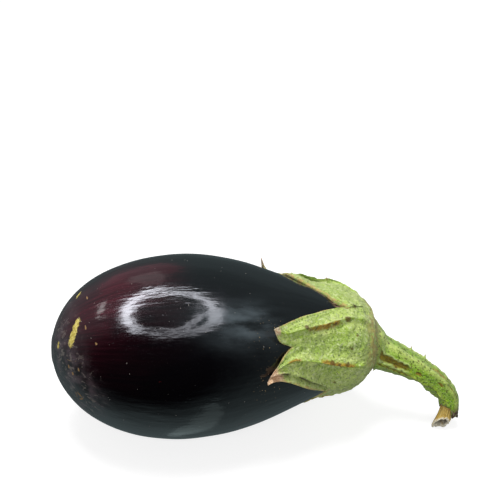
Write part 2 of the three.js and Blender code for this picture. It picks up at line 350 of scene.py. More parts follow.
def paint(tree, base, *coats):
    """Lays coats of colour over a base. A coat is a tone, then the shares that it covers by, which multiply.
    Tones are hex codes or sockets."""
    made = colour(base) if isinstance(base, str) else base
    for tone, share, *more in coats:
        for other in more:
            share = add(tree, "Math", {0: share, 1: other}, operation="MULTIPLY")
        tone = colour(tone) if isinstance(tone, str) else tone
        made = add(tree, "Mix", {0: share, 6: made, 7: tone}, out=2, data_type="RGBA")
    return made


def relief(tree, *layers):
    """A bump normal from layers of (height value, height in millimetres)."""
    normal = None
    for value, height in layers:
        inputs = {"Height": value, "Distance": height * MM, "Strength": 1.0}
        if normal is not None:
            inputs["Normal"] = normal
        normal = add(tree, "Bump", inputs)
    return normal


# -------------------- the fruit
# Marks on the skin, in millimetres along the axis and degrees from the top: the two ends of each, its half
# width, and which tone it has.
SKIN_MARKS = [
    ((-46.6, 28), (-48.4, 37), 1.5, "scar"),
    ((-48.2, 37), (-49.8, 48), 1.9, "scar"),
    ((-46.2, -8), (-47.6, -3.5), 0.7, "scar"),
    ((-56.2, 46), (-56.4, 51), 0.95, "scar"),
    ((-42.6, 6), (-42.4, 8.5), 0.4, "cork"),
    ((-42.9, 35), (-42.6, 37.5), 0.42, "cork"),
    ((-51.2, 72), (-51.0, 74.5), 0.42, "cork"),
    ((-49.3, 78), (-49.0, 80), 0.4, "cork"),
    ((-46.3, 72), (-46.0, 74), 0.35, "cork"),
    ((-58.5, 64), (-47.5, 65.5), 0.2, "cork"),
    ((-52.0, 66), (-45.0, 66.5), 0.16, "cork"),
    ((-38.0, 50), (-37.4, 51), 0.35, "cork"),
    ((-47.4, 99), (-45.0, 103), 0.3, "cork"),
    ((-45.0, 103), (-46.6, 108), 0.3, "cork"),
    ((-48.4, 101), (-47.8, 108), 0.22, "cork"),
    ((-17.0, 74.7), (-8.6, 74.2), 0.16, "scratch"),
    ((-32.0, 98), (-24.0, 97), 0.12, "scratch"),
    ((24.0, 118), (33.0, 117), 0.12, "scratch"),
]
DENTS = [((4.0, 42.5), 0.16, 1.5), ((7.2, 40), 0.20, 1.2), ((9.5, 38), 0.12, 1.4), ((-11, 38.5), 0.14, 0.9),
         ((-34, -60), 0.3, 5.0), ((30, 130), 0.3, 6.0), ((-20, 230), 0.35, 7.0)]
FLECKED = [(41, 50), (40, 84)]     # the skin round these places is flecked, by the tips of two lobes
BLEACHED = [(76, 9), (71, -8), (64, -20)]     # a line of pale skin along the calyx's edge
HAZE = (31, 40)                    # the middle of a patch of painted slate-grey reflection haze
HAZE_SIZE = (18.7, 8.25, 8.25)     # how far it spreads along X, Y and Z
RIPE_SPAN = (16, -36)              # the burgundy starts and is full at these places along the axis
RIPE_TURN = 0.25                   # the side it is strongest on, in radians from the top
SCUFFED_TURN = 1.75                # the side that is scuffed most
FRUIT_ROWS = 280
FRUIT_AROUND = 320
SCAR_RADIUS = 3.6      # the brown blossom scar at the end


def skin_point(along, degrees):
    """A point on the smooth fruit."""
    return round_axis(along, math.radians(degrees), fruit_radius(along))


def gap_to(points, places):
    """How far each point is from the nearest of some places on the smooth fruit."""
    spots = np.stack([skin_point(*place) for place in places])
    return size_of(points[:, :, None] - spots).min(-1)


def marks_of(tree, coords, tone):
    """1 on the skin marks of one tone: long soft blobs, each the largest of them, frayed by fine noise."""
    cloud = add(tree, "TexNoise", {"Vector": coords, "Scale": 1 / (1.3 * MM), "Detail": 4.0}, out=1)
    fray = add(tree, "VectorMath", {0: cloud, 1: (0.5, 0.5, 0.5)}, operation="SUBTRACT")
    found = 0.0
    for start, end, half_width, kind in SKIN_MARKS:
        if kind != tone:
            continue
        start, end = Vector(skin_point(*start)), Vector(skin_point(*end))
        reach = (end - start).length / 2 + half_width
        push = add(tree, "VectorMath", {0: fray, 1: (half_width * MM * 2.2,) * 3}, operation="MULTIPLY")
        frayed = add(tree, "VectorMath", {0: coords, 1: push}, operation="ADD")
        turned = (end - start).to_track_quat("X", "Z").to_euler()
        sizes = (reach * MM, half_width * MM, half_width * MM * 1.6)
        placed = add(tree, "Mapping", {"Vector": frayed, "Location": (start + end) / 2 * MM,
                                       "Rotation": turned, "Scale": sizes}, vector_type="TEXTURE")
        distance = add(tree, "VectorMath", {0: placed}, out=1, operation="LENGTH")
        blob = add(tree, "MapRange", {"Value": distance, "From Min": 1.15, "From Max": 0.8})
        found = add(tree, "Math", {0: found, 1: blob}, operation="MAXIMUM")
    return found


def waxed_skin():
    """Eggplant skin: a near-black purple under a thin natural wax. The wax gives a bright gloss that
    lengthwise fibres streak, burgundy shows through near the blossom end, and corky scars are dull. A
    streaky slate-grey haze of painted reflection lies over one patch of the upper skin."""
    made, shader, tree, coords, kept = material("waxed_purple_skin", "grain", "blossomward", "scuffed",
                                                "flecked", "bleached", "painted_haze", "blossom_scar")
    grain = kept["grain"]
    streaks = mask(grain, 2.2, 0.32, 0.72, squash=0.05)
    fine_streaks = mask(grain, 0.9, 0.35, 0.7, squash=0.04, offset=4.0)
    clouds = mask(coords, 24, 0.35, 0.65)
    mix_streaks = add(tree, "Mix", {0: 0.45, 2: streaks, 3: clouds})
    speckle = mask(coords, 1.1, 0.4, 0.6, detail=4.0)
    dust = mask(coords, 5.5, 0.4, 0.7, detail=7.0)
    scratches = mask(coords, 2.4, 0.585, 0.62, squash=0.18, distortion=1.2)
    scar, cork, scratch = (marks_of(tree, coords, tone) for tone in ("scar", "cork", "scratch"))
    skin = paint(
        tree, "#050406",
        ("#17050a", kept["blossomward"]),
        ("#3a0f1a", kept["blossomward"], mix_streaks, 0.75),
        ("#561a27", kept["blossomward"], fine_streaks, clouds, 0.35),
        # Painted reflection: a streaky slate-grey haze over one patch of the upper skin.
        ("#50595e", kept["painted_haze"], mask(grain, 5, 0.28, 0.7, squash=0.28, detail=6.0)),
        ("#5a4a50", kept["scuffed"], dust, 0.55),
        ("#8a8078", kept["scuffed"], scratches, 0.35),
        ("#a8a29a", dots(coords, 3.4, 0.065), mask(coords, 11, 0.42, 0.58), 0.75),
        ("#b09468", dots(coords, 1.15, 0.17, offset=3.0), kept["flecked"],
         mask(coords, 2.6, 0.45, 0.6), 0.9),
        ("#9c7a72", kept["bleached"], mask(grain, 1.5, 0.52, 0.62, squash=0.14), 0.8),
        (paint(tree, "#a8963e", ("#cfc070", speckle)), scar),
        ("#8f7048", cork, 0.8),
        ("#5c1a1c", scratch),
        ("#6b5038", kept["blossom_scar"], mask(coords, 0.9, 0.3, 0.55)))
    dull = scar
    rubbed = add(tree, "Math", {0: kept["scuffed"], 1: 0.3}, operation="MULTIPLY")
    for share in (cork, kept["blossom_scar"], rubbed):
        dull = add(tree, "Math", {0: dull, 1: share}, operation="MAXIMUM")
    fibres = mask(grain, 0.6, 0.3, 0.7, squash=0.05, detail=4.0)
    gloss = add(tree, "Math", {0: fibres, 1: 0.06, 2: 0.125}, operation="MULTIPLY_ADD")
    rough = add(tree, "Mix", {0: dull, 2: gloss, 3: 0.6})
    coat = add(tree, "MapRange", {"Value": dull, "To Min": 0.8, "To Max": 0.15})
    ragged = mask(grain, 2.4, 0.25, 0.75, squash=0.16, detail=5.0, offset=9.0)
    lumps = mask(coords, 5.0, 0.2, 0.8, squash=0.5, offset=2.0)
    pits = dots(coords, 2.6, 0.1, offset=7.0)
    normal = relief(tree, (ragged, 0.075), (lumps, 0.06), (fibres, 0.004), (pits, -0.03), (scar, 0.08),
                    (cork, 0.04))
    fill(shader, {"Base Color": skin, "Roughness": rough, "IOR": 1.42, "Normal": normal, "Coat Weight": coat,
                  "Coat IOR": 1.4, "Coat Roughness": 0.05, "Coat Normal": normal})
    return made


def make_fruit():
    """The fruit: the smooth shape, long shallow swells, a few dents, a blossom scar, and the flat it rests
    on."""
    share = np.linspace(0, 1, FRUIT_ROWS)[:, None]
    along = np.where(share < 0.5, -BLOSSOM_LENGTH * np.cos(np.pi * share),
                     STEM_LENGTH * (1 - np.clip(2 - 2 * share, 0, 1) ** 1.8))
    turn = turns(FRUIT_AROUND)
    radius = fruit_radius(along)
    points = round_axis(along, turn, radius)
    swell = (0.28 * ripple(points, 62, 1) + 0.09 * ripple(points, 23, 2) + 0.10 * np.cos(5 * turn + 0.6)
             + 0.06 * np.cos(9 * turn + along / 30))
    for place, depth, width in DENTS:
        swell -= depth * bump(size_of(points - skin_point(*place)), width)
    swell = swell * smooth(0, 14, radius)
    points = round_axis(along, turn, radius + swell)
    end = (along < 0) * (0.8 * bump(radius, SCAR_RADIUS) - 0.3 * bump(radius - 1.5 * SCAR_RADIUS, 1.6))
    points += end[..., None] * AXIS
    points[..., 2] = np.maximum(points[..., 2], 0)
    low_ripe = mix(0.02, 0.15, smooth(-28, -50, along))
    facing = mix(low_ripe, 1, bump(apart(turn, RIPE_TURN), 0.56))
    under_edge = spline(BLEACHED, np.linspace(0, 1, 9))[0]
    marks = {"grain": round_grain(along, 30, turn) * MM,
             "blossomward": smooth(*RIPE_SPAN, along + 6 * np.cos(turn)) * facing,
             "scuffed": smooth(-44, -58, along - 14 * bump(apart(turn, SCUFFED_TURN), 0.75)),
             # Where the painted reflection haze lies: a soft patch round HAZE.
             "painted_haze": bump(size_of((points - skin_point(*HAZE)) / HAZE_SIZE), 1),
             "flecked": smooth(14, 4, gap_to(points, FLECKED)),
             "bleached": smooth(4.5, 1.5, gap_to(points, under_edge)),
             "blossom_scar": smooth(SCAR_RADIUS + 0.6, SCAR_RADIUS - 0.6, radius) * (along < 0)}
    closed_skin("fruit_skin", points, marks, waxed_skin(), "fruit")


# -------------------- the calyx
CALYX_HALF_STEPS = 34      # columns in half a lobe
CALYX_ROWS = 122           # rows from the free edge to the crease
LINING_ROWS = 22           # rows inside, against the fruit
SAG = 0.9                  # how far a panel sinks between its folds
CALYX_ROUGH = [(0.30, 6.5, 13), (0.17, 3.0, 14), (0.09, 1.5, 15)]     # ripples: height, size, seed
TURN_MM = 0.55             # about the length of a degree round the neck, to measure paths by

# Corky warts on the calyx: degrees round, millimetres along the axis, radius.
WARTS = [(42, 57, 1.25), (31.5, 77, 1.5), (37, 71, 0.7), (75, 69, 1.3), (79, 76.5, 1.0), (77.5, 72.5, 0.8),
         (63.5, 78.5, 0.75), (61.5, 77.5, 0.6), (66, 84.5, 0.6), (49, 81.5, 0.8), (45.5, 66.5, 0.6),
         (58.5, 58.5, 0.5), (104, 71, 0.9), (90.5, 72, 0.6), (12.5, 81.5, 0.85), (1, 74.5, 0.5),
         (-5, 76.5, 0.55), (72, 49.5, 0.5), (125, 76, 0.7), (-34, 82, 0.6), (-60, 70, 0.8), (-95, 77, 0.9),
         (-118, 66, 0.7), (-140, 80, 0.8), (-152, 62, 0.7), (160, 78, 0.8), (143, 71, 0.6)]


def path(points, share):
    """Places on a path of (degrees, millimetres), at shares of its length."""
    scaled = np.asarray(points, float) * (TURN_MM, 1)
    return spline(scaled, share)[0] / (TURN_MM, 1)


def half_lobe(lobe, side, climb, away):
    """Where half a lobe lies on the fruit, as degrees and millimetres: a patch blended between its fold, the
    valley to the next lobe, its free edge and the crease. climb goes from the edge to the crease, away from
    the fold to the valley."""
    outline = lobe["fold"][-1:] + lobe["after" if side > 0 else "before"]
    base = lobe["fold"][0][0]
    valley_foot = (base + side * 180 / len(LOBES), CREASE_ALONG)
    fold = path(lobe["fold"][::-1], climb)[:, None]
    valley = mix(np.array(outline[-1], float), np.array(valley_foot), climb[:, None])[:, None]
    edge = path(outline, away)[None]
    crease = mix(np.array([base, CREASE_ALONG]), np.array(valley_foot), away[:, None])[None]
    up, out = climb[:, None, None], away[None, :, None]
    corners = mix(mix(fold[:1], valley[:1], out), mix(fold[-1:], valley[-1:], out), up)
    return mix(fold, valley, out) + mix(edge, crease, up) - corners


def calyx_radius(along):
    """Outer radius without the folds: a skin on the fruit that turns into a fleshy shoulder, which narrows to
    the crease."""
    skin = fruit_radius(along) + SKIN_GAP + EDGE_WALL + WALL_GAIN * np.clip(along - WALL_START, 0, None)
    past = np.clip(along - SHOULDER_CROWN, 0, None) / (CREASE_ALONG - SHOULDER_CROWN)
    shoulder = SHOULDER_RADIUS - (SHOULDER_RADIUS - CREASE_RADIUS) * np.minimum(past, 1) ** SHOULDER_CURVE
    return mix(skin, shoulder, smooth(*SHOULDER_SPAN, along))


def felted_calyx():
    """Eggplant calyx: a tough green skin under a felt of star hairs, so it is matte with a faint pale sheen.
    The folds are rubbed to brown cork, the free edges and tips dry to tan, and it yellows towards the
    crease. Painted shade darkens the valley panels, the sides below the folds and the grooves of the
    rolled hems, and a painted pale sheen rises towards grazing angles."""
    made, shader, tree, coords, kept = material("felted_green_calyx", "crest", "shaded", "valley", "cork",
                                                "wart", "edge", "dry", "pale", "crease", "groove_shade")
    felt = mask(coords, 0.8, 0.4, 0.62, detail=4.0)
    pits = mask(coords, 0.95, 0.54, 0.66, offset=5.0, detail=4.0)
    clouds = mask(coords, 8, 0.34, 0.66, detail=5.0)
    patches = mask(coords, 4.5, 0.42, 0.6, detail=5.0, offset=11.0)
    fray = mask(coords, 2.0, 0.36, 0.56, detail=5.0, offset=8.0)
    # Painted sheen: the colour turns paler towards grazing angles.
    painted_rim_sheen = add(tree, "LayerWeight", {"Blend": 0.25}, out="Facing")
    cork = paint(tree, "#5f4510", ("#9a7a1a", fray), ("#bd983c", felt, patches))
    dry = paint(tree, "#c49a74", ("#e0c2a0", felt), ("#d8ccaa", kept["pale"], felt))
    green = paint(
        tree, "#93ae3f",
        ("#bacb70", clouds),
        ("#86a72c", patches, kept["shaded"]),
        ("#cbd88e", felt, 0.45),
        # Painted shade: darker green over the sagging valley panels, with pale felt laid over it.
        ("#7d9c33", kept["valley"], 0.62),
        ("#a6b96a", kept["valley"], felt, 0.35),
        ("#8fb01c", kept["crest"], 0.75),
        ("#5f7a20", pits, 0.72),
        ("#d6dfaa", mask(coords, 1.5, 0.52, 0.66, detail=5.0, offset=14.0), 0.5),
        ("#dbe2b8", painted_rim_sheen, 0.28),
        ("#a39250", kept["crease"], fray, 0.85),
        # Painted shade in the grooves of the rolled hems.
        ("#3f3a14", kept["groove_shade"], 0.8),
        (cork, kept["cork"], mask(coords, 2.2, 0.28, 0.46, detail=5.0, offset=8.0), 0.95),
        ("#5b4218", kept["wart"], 0.85),
        ("#6a5a22", dots(coords, 4.2, 0.12, offset=2.0), mask(coords, 10, 0.46, 0.58), 0.8),
        ("#bda566", kept["edge"], fray, 0.9),
        (dry, kept["dry"]))
    wrinkles = mask(coords, 2.2, 0.2, 0.8, detail=6.0, distortion=0.2)
    hairs = mask(coords, 0.45, 0.3, 0.7, detail=2.0, offset=6.0)
    normal = relief(tree, (wrinkles, 0.34), (hairs, 0.09), (felt, 0.12), (pits, -0.2))
    fill(shader, {"Base Color": green, "Roughness": 0.8, "Specular IOR Level": 0.35, "Sheen Weight": 0.12,
                  "Sheen Roughness": 0.5, "Normal": normal})
    return made


def calyx_shape():
    """The calyx as rows of points, with its marks, its outer rows alone, and where those lie on the fruit.
    Columns run from the fold of one lobe over the valley to the fold of the next. Outside it has keeled
    folds, sagging panels, rolled hems, warts and curled tips; inside it lines the fruit."""
    climb = np.linspace(0, 1, CALYX_ROWS) ** 1.12
    steps = np.arange(CALYX_HALF_STEPS) / CALYX_HALF_STEPS
    aways = [steps**1.3, (1 - steps)**1.3]
    # Each half is its lobe, and 1 if it comes after the fold or -1 if before it.
    halves = [((half + 1) // 2 % len(LOBES), 1 - 2 * (half % 2)) for half in range(2 * len(LOBES))]
    places = np.concatenate([half_lobe(LOBES[index], way, climb, aways[way < 0]) for index, way in halves], 1)
    away = np.tile(np.concatenate(aways), len(LOBES))
    owner, side = np.repeat(halves, CALYX_HALF_STEPS, 0).T
    fold = 2 * CALYX_HALF_STEPS * owner
    lift, curl, height, keeled, dry, pale = (np.array([lobe[key] for lobe in LOBES])[owner]
                                             for key in ("lift", "curl", "height", "keel", "dry", "pale"))
    fade = np.array([lobe["fade"] for lobe in LOBES])[owner].T
    hem = np.array([lobe["hem"] for lobe in LOBES])[owner, (side + 1) // 2] * smooth(0, 0.12, 1 - away)
    turn, along = np.radians(places[..., 0]), places[..., 1]
    sheet = round_axis(along, turn, calyx_radius(along))
    rim = run(sheet)
    across = size_of(sheet - sheet[:, fold])
    tip = size_of(sheet - sheet[0, fold])
    up = climb[:, None] * np.ones_like(away)
    below = (side > 0) * smooth(0.2, 1.0, across)
    raised = lift * np.exp(-rim / 4.0) * (1 + 0.5 * ripple(sheet, 11, 11)) * smooth(1.0, 0.6, up)
    raised += curl * np.exp(-(tip / 3.6) ** 1.5)
    gained = WALL_GAIN * np.clip(along - WALL_START, 0, None)
    raised -= 0.85 * gained * np.exp(-rim / 1.8) * smooth(1.0, 0.8, up)
    rolled = hem * (1.2 * bump(rim - 4.6, 1.3) - 0.9 * bump(rim - 2.7, 0.8) + 1.3 * smooth(2.2, 0, rim))
    tent = height * (1 - away) ** 1.1 * mix(0.3, 1, smooth(0, 0.2, up))
    tent *= mix(1, 0.22, smooth(*fade, along))
    keel = keeled * np.exp(-across / 1.3) * (0.82 + 0.18 * ripple(sheet, 4.5, 12)) * smooth(0.01, 0.1, up)
    undercut = 0.65 * keeled * below * bump(across - 2.0, 1.2) * smooth(0.05, 0.2, up)
    keel = (keel - undercut) * smooth(1, 0.84, up)
    panel = -SAG * np.sin(np.pi * away) * smooth(0, 0.25, up) * smooth(1, 0.8, up)
    wart = np.zeros_like(up)
    for degrees, place, size in WARTS:
        spot = round_axis(place, math.radians(degrees), calyx_radius(place))
        wart = np.maximum(wart, bump(size_of(sheet - spot), size) * min(size, 1))
    rough = sum(high * ripple(sheet, size, seed) for high, size, seed in CALYX_ROUGH)
    rough = rough * mix(1, 0.6, smooth(0.9, 1, up)) * smooth(-0.5, 1.5, rim) + 0.6 * wart
    outer = round_axis(along, turn, calyx_radius(along) + raised + rolled + tent + keel + panel + rough)
    inside = np.linspace(0, 0.93, LINING_ROWS)
    pick = np.searchsorted(climb, inside).clip(0, CALYX_ROWS - 1)
    stand = raised[pick] + (tent + rolled)[pick] * smooth(5, 0, rim[pick])
    lining = round_axis(along[pick], turn[pick], fruit_radius(along[pick]) + 0.1 + stand)
    lip = (outer[0] + lining[0]) / 2 + 0.3 * unit(sheet[0] - sheet[3])
    cap = round_axis(CREASE_ALONG, turn[-1:], 0)
    rows = np.concatenate([lining[::-1], lip[None], outer, cap])
    rubbed = np.zeros_like(up)
    for index, lobe in enumerate(LOBES):
        for start, end in lobe["scars"]:
            rubbed += (owner == index) * smooth(start - 1, start + 1, along) * smooth(end + 1, end - 1, along)
    fraying = 0.25 * ripple(sheet, 2.2, 16)
    marks = {
        "crest": smooth(1.6, 0.5, across) * smooth(0.95, 0.8, up) * smooth(0, 1.2, keeled),
        "shaded": mix(0.35, 1, below * smooth(5.0, 1.0, across)),
        # Painted shade on the valley panels, strongest about 60 degrees round from the top.
        "valley": smooth(0.2, 0.75, away) * mix(0.3, 1, bump(turn - 1.05, 0.45)),
        "cork": rubbed * smooth(2.3, 1.0, across + fraying + 0.5 * (side < 0)),
        "wart": smooth(0.25, 0.6, wart),
        "edge": smooth(1.0, 0.3, rim + fraying),
        "dry": smooth(1.2, -1.2, tip - dry + 3 * fraying),
        "pale": pale[None],
        "crease": smooth(0.86, 0.97, up + 0.03 * fraying),
        # Painted shade in the groove behind a rolled hem.
        "groove_shade": hem * bump(rim - 2.9, 0.85) * smooth(-1.1, -0.3, ripple(sheet, 9, 17)) * (hem > 0.4),
    }
    for name, values in marks.items():
        values = np.broadcast_to(values, up.shape)
        marks[name] = np.concatenate([values[pick][::-1], values[:1], values, values[-1:]])
    return rows, marks, outer, places


# -------------------- the stem and its core
STEM_ROWS = 250
STEM_AROUND = 150
CORE_ROWS = 90
CORE_AROUND = 96
INNER_ROWS = 6         # rows inside the torn end of either, with the one that closes it
STEM_RIBS = 5
STEM_TWIST = 0.010     # radians a millimetre
STEM_ROUGH = [(0.20, 7, 23), (0.12, 3, 24), (0.06, 1.5, 26)]
SINK = 1.5             # how far the foot of the bark goes into the calyx
NEAR_END = 1.6         # the near side of the bark ends this much short of the middle's end
STRIP_REACH = 6.0      # a strip of bark on the outer side runs on this far past the near side
STRIP_TURN = math.radians(6)
SCAR_TURN = 69         # the long scar's middle and half its width, in degrees round the stem
SCAR_HALF = 11
CREASE_MIDDLE = round_axis(CREASE_ALONG, 0, 0)


def tube(route, share, turn, turn_in=0.0):
    """The sections of a tube along a route: their middles, their directions, the ways out from each middle at
    the turns from the top to the near side, and the route's length. Within turn_in of its start the sections
    stay square to the fruit's axis."""
    step = 1e-3
    knots = np.asarray(route, float) + CREASE_MIDDLE
    middle, length = spline(knots, share)
    ahead, behind = (spline(knots, np.clip(share + move, 0, 1))[0] for move in (step, -step))
    direction = unit(ahead - behind)
    if turn_in:
        direction = unit(mix(AXIS, direction, smooth(0, turn_in, share * length)[..., None]))
    side = unit(NEAR - (direction @ NEAR)[..., None] * direction)
    rise = np.cross(side, direction)
    outward = np.cos(turn)[..., None] * rise[:, None] + np.sin(turn)[..., None] * side[:, None]
    return middle, direction, outward, length


def ribbed_bark():
    """Green eggplant stem: a felted skin over ribs, striped lengthwise in yellow-green, with a long brown
    scar, warty pits, and a dried dark brown edge where it was torn. Painted shade darkens the grooves
    between the ribs, painted light makes the top paler, and a painted pale sheen rises towards grazing
    angles."""
    made, shader, tree, coords, kept = material("ribbed_green_bark", "grain", "groove_shade", "scar", "dry",
                                                "painted_top_light", "foot", "rubbed", "lip")
    grain = kept["grain"]
    stripes = mask(grain, 1.6, 0.36, 0.64, squash=0.12, detail=4.0)
    felt = mask(coords, 0.7, 0.42, 0.62, detail=4.0)
    pits = mask(coords, 1.15, 0.55, 0.65, offset=5.0, detail=4.0)
    fray = mask(grain, 1.6, 0.34, 0.54, squash=0.3, detail=4.0)
    patches = mask(coords, 5.0, 0.45, 0.6, detail=4.0, offset=3.0)
    scar = paint(tree, "#5a4e0c", ("#8d7d22", mask(grain, 1.1, 0.36, 0.64, squash=0.2, detail=4.0)))
    # Painted sheen: the colour turns paler towards grazing angles.
    painted_rim_sheen = add(tree, "LayerWeight", {"Blend": 0.25}, out="Facing")
    green = paint(
        tree, "#809c12",
        ("#a4ba3c", stripes),
        # Painted shade in the grooves between the ribs.
        ("#6f9c0a", kept["groove_shade"], 0.85),
        # Painted light: paler along the top of the stem.
        ("#bccf74", kept["painted_top_light"], 0.75),
        ("#c9d690", felt, 0.22),
        ("#4c6212", pits, 0.8),
        ("#c2d088", kept["lip"], 0.65),
        ("#dbe2b8", painted_rim_sheen, 0.24),
        ("#6b5a1c", patches, pits, 0.7),
        ("#a09056", kept["foot"], fray, 0.8),
        ("#a5813c", kept["rubbed"], fray, 0.8),
        (scar, kept["scar"], mask(grain, 1.8, 0.2, 0.38, squash=0.3, detail=4.0)),
        ("#62431c", dots(coords, 4.4, 0.17, offset=1.0), mask(coords, 9, 0.45, 0.56), 0.9),
        ("#4f3a28", kept["dry"], mask(coords, 1.3, 0.25, 0.5)),
        ("#b8a898", kept["dry"], pits, 0.6))
    wrinkles = mask(grain, 1.8, 0.2, 0.8, squash=0.3, detail=5.0)
    normal = relief(tree, (wrinkles, 0.4), (felt, 0.14), (pits, -0.25))
    fill(shader, {"Base Color": green, "Roughness": 0.78, "Specular IOR Level": 0.35, "Sheen Weight": 0.1,
                  "Normal": normal})
    return made


def torn_wood():
    """The stem's woody core, torn across: straw-coloured fibres that run lengthwise, drying nearly white at
    the torn end, with painted shade that darkens the hollow pith with its depth."""
    made, shader, tree, coords, kept = material("torn_straw_wood", "grain", "torn", "pith")
    fibres = mask(kept["grain"], 0.6, 0.3, 0.7, squash=0.06, detail=4.0)
    stains = mask(coords, 4, 0.4, 0.65, detail=4.0)
    wood = paint(
        tree, "#a98b38",
        ("#d0b66c", fibres),
        ("#9a6c2c", stains, 0.4),
        ("#d8d2bd", kept["torn"], mask(coords, 1.5, 0.2, 0.5)),
        # Painted shade, dark deep in the hollow pith.
        ("#3a2f1a", kept["pith"]))
    fill(shader, {"Base Color": wood, "Roughness": 0.85, "Normal": relief(tree, (fibres, 0.2))})
    return made


def make_stem():
    """The bark: a flared foot set into the crease, five ribs that twist a little, a sunken scar between two
    lips, a cracked bend, and a torn edge that runs on as a strip along the outer side. Inside the edge it
    lines the core."""
    share = np.linspace(0, 1, STEM_ROWS) ** 1.15
    turn = turns(STEM_AROUND)
    middle, direction, outward, length = tube(STEM_ROUTE, share, turn, STEM_TURN_IN)
    down = share[:, None] * length
    taper = STEM_TAPER * np.clip(1 - down / STEM_TAPER_REACH, 0, 1) ** 1.3
    radius = BARK_RADIUS + taper + STEM_FLARE * np.exp(-down / STEM_FLARE_REACH)
    twist = turn - 0.35 - STEM_TWIST * down
    crest = 1 - np.abs(np.sin(STEM_RIBS / 2 * twist)) ** 0.8
    points = middle[:, None] + radius[..., None] * outward
    ring = np.degrees(turn) - 0.4 * down + 3 * ripple(points, 9, 25) + 2.5 * ripple(points, 3, 28)
    # The long scar and its lips, a thin line beside it, two short nicks, and a crack at the bend.
    ends = smooth(4.5, 7, down) * smooth(27, 22, down)
    scar = smooth(SCAR_HALF + 3, SCAR_HALF - 2, np.abs(ring - SCAR_TURN)) * ends
    lip = bump(np.abs(ring - SCAR_TURN) - SCAR_HALF - 4, 4.0) * ends
    line = bump(ring - SCAR_TURN - 27, 3.5) * smooth(4, 8, down) * smooth(29, 24, down)
    second = smooth(9, 5, np.abs(ring - 70)) * smooth(27.5, 28.5, down) * smooth(31.5, 30.5, down)
    second += smooth(7, 4, np.abs(ring - 52)) * smooth(39, 40, down) * smooth(43, 42, down)
    crack = bump(ring - 14, 5) * smooth(length - 15, length - 12, down) * smooth(length - 3, length - 5, down)
    wrapped = apart(turn, STRIP_TURN)
    jag = ripple(np.stack([4 * np.cos(turn), 4 * np.sin(turn), 0 * turn], -1), 2.6, 22)
    torn = STRIP_REACH * smooth(1.5, 1.3, np.abs(wrapped)) - NEAR_END + 0.6 * jag
    pull = torn * smooth(length - 9, length, down)
    radius = radius + (1.0 * crest - 0.5) * smooth(1, 11, down) * smooth(length + 2, length - 8, down)
    radius = radius - 0.75 * scar + 0.35 * lip - 0.6 * line - 0.3 * second - 0.7 * crack
    for high, size, seed in STEM_ROUGH:
        radius = radius + high * ripple(points, size, seed)
    knobs = smooth(-0.2, -0.9, np.cos(turn)) * smooth(22, 32, down) * smooth(length, length - 5, down)
    radius = radius + 1.1 * knobs * ripple(points, 8, 27) - 0.4 * smooth(length - 2.0, length, down)
    points = middle[:, None] + radius[..., None] * outward + pull[..., None] * direction[:, None]
    wall = np.array([0.0, 0.5, 0.9, 1.0, 1.0])[:, None]
    back = np.array([0.25, 0.0, 1.0, 4.0, 7.0])[:, None]
    lining = (middle[-1] + (radius[-1:] - wall)[..., None] * outward[-1:]
              + (pull[-1:] - back)[..., None] * direction[-1])
    foot = np.repeat(middle[:1] - SINK * AXIS, STEM_AROUND, 0)[None]
    skirt = points[:1] - SINK * AXIS - 0.4 * outward[:1]
    bottom = np.repeat(lining[-1:].mean(1), STEM_AROUND, 0)[None]
    rows = np.concatenate([foot, skirt, points, lining, bottom])
    rows[..., 2] = np.maximum(rows[..., 2], 0.05)
    browned = smooth(length - 4.5, length - 1.8, down) * smooth(1.5, 1.2, np.abs(wrapped))
    # Painted shade in the grooves between the ribs.
    marks = {"groove_shade": (1 - crest) * smooth(1, 8, down),
             "scar": np.maximum(np.maximum(scar, line), np.maximum(second, crack)),
             "dry": np.maximum(browned, smooth(length - 0.8, length, down)),
             # Painted light: paler along the top of the stem.
             "painted_top_light": np.clip(np.cos(turn + 0.3), 0, 1) ** 0.7 * smooth(0.0, 0.5, crest),
             "foot": smooth(5, 0.5, down),
             "rubbed": bump(ring + 8, 16) * smooth(33, 36, down) * smooth(44, 40, down),
             "lip": lip}
    for name, values in marks.items():
        outside = padded(np.broadcast_to(values, points.shape[:2]), 2, 0)
        inside = np.full((INNER_ROWS, STEM_AROUND), float(name == "dry"))
        marks[name] = np.concatenate([outside, inside])
    marks["grain"] = padded(round_grain(down, 8, turn) * MM, 2, INNER_ROWS)
    closed_skin("stem_bark", rows, marks, ribbed_bark(), "stem")
    return points


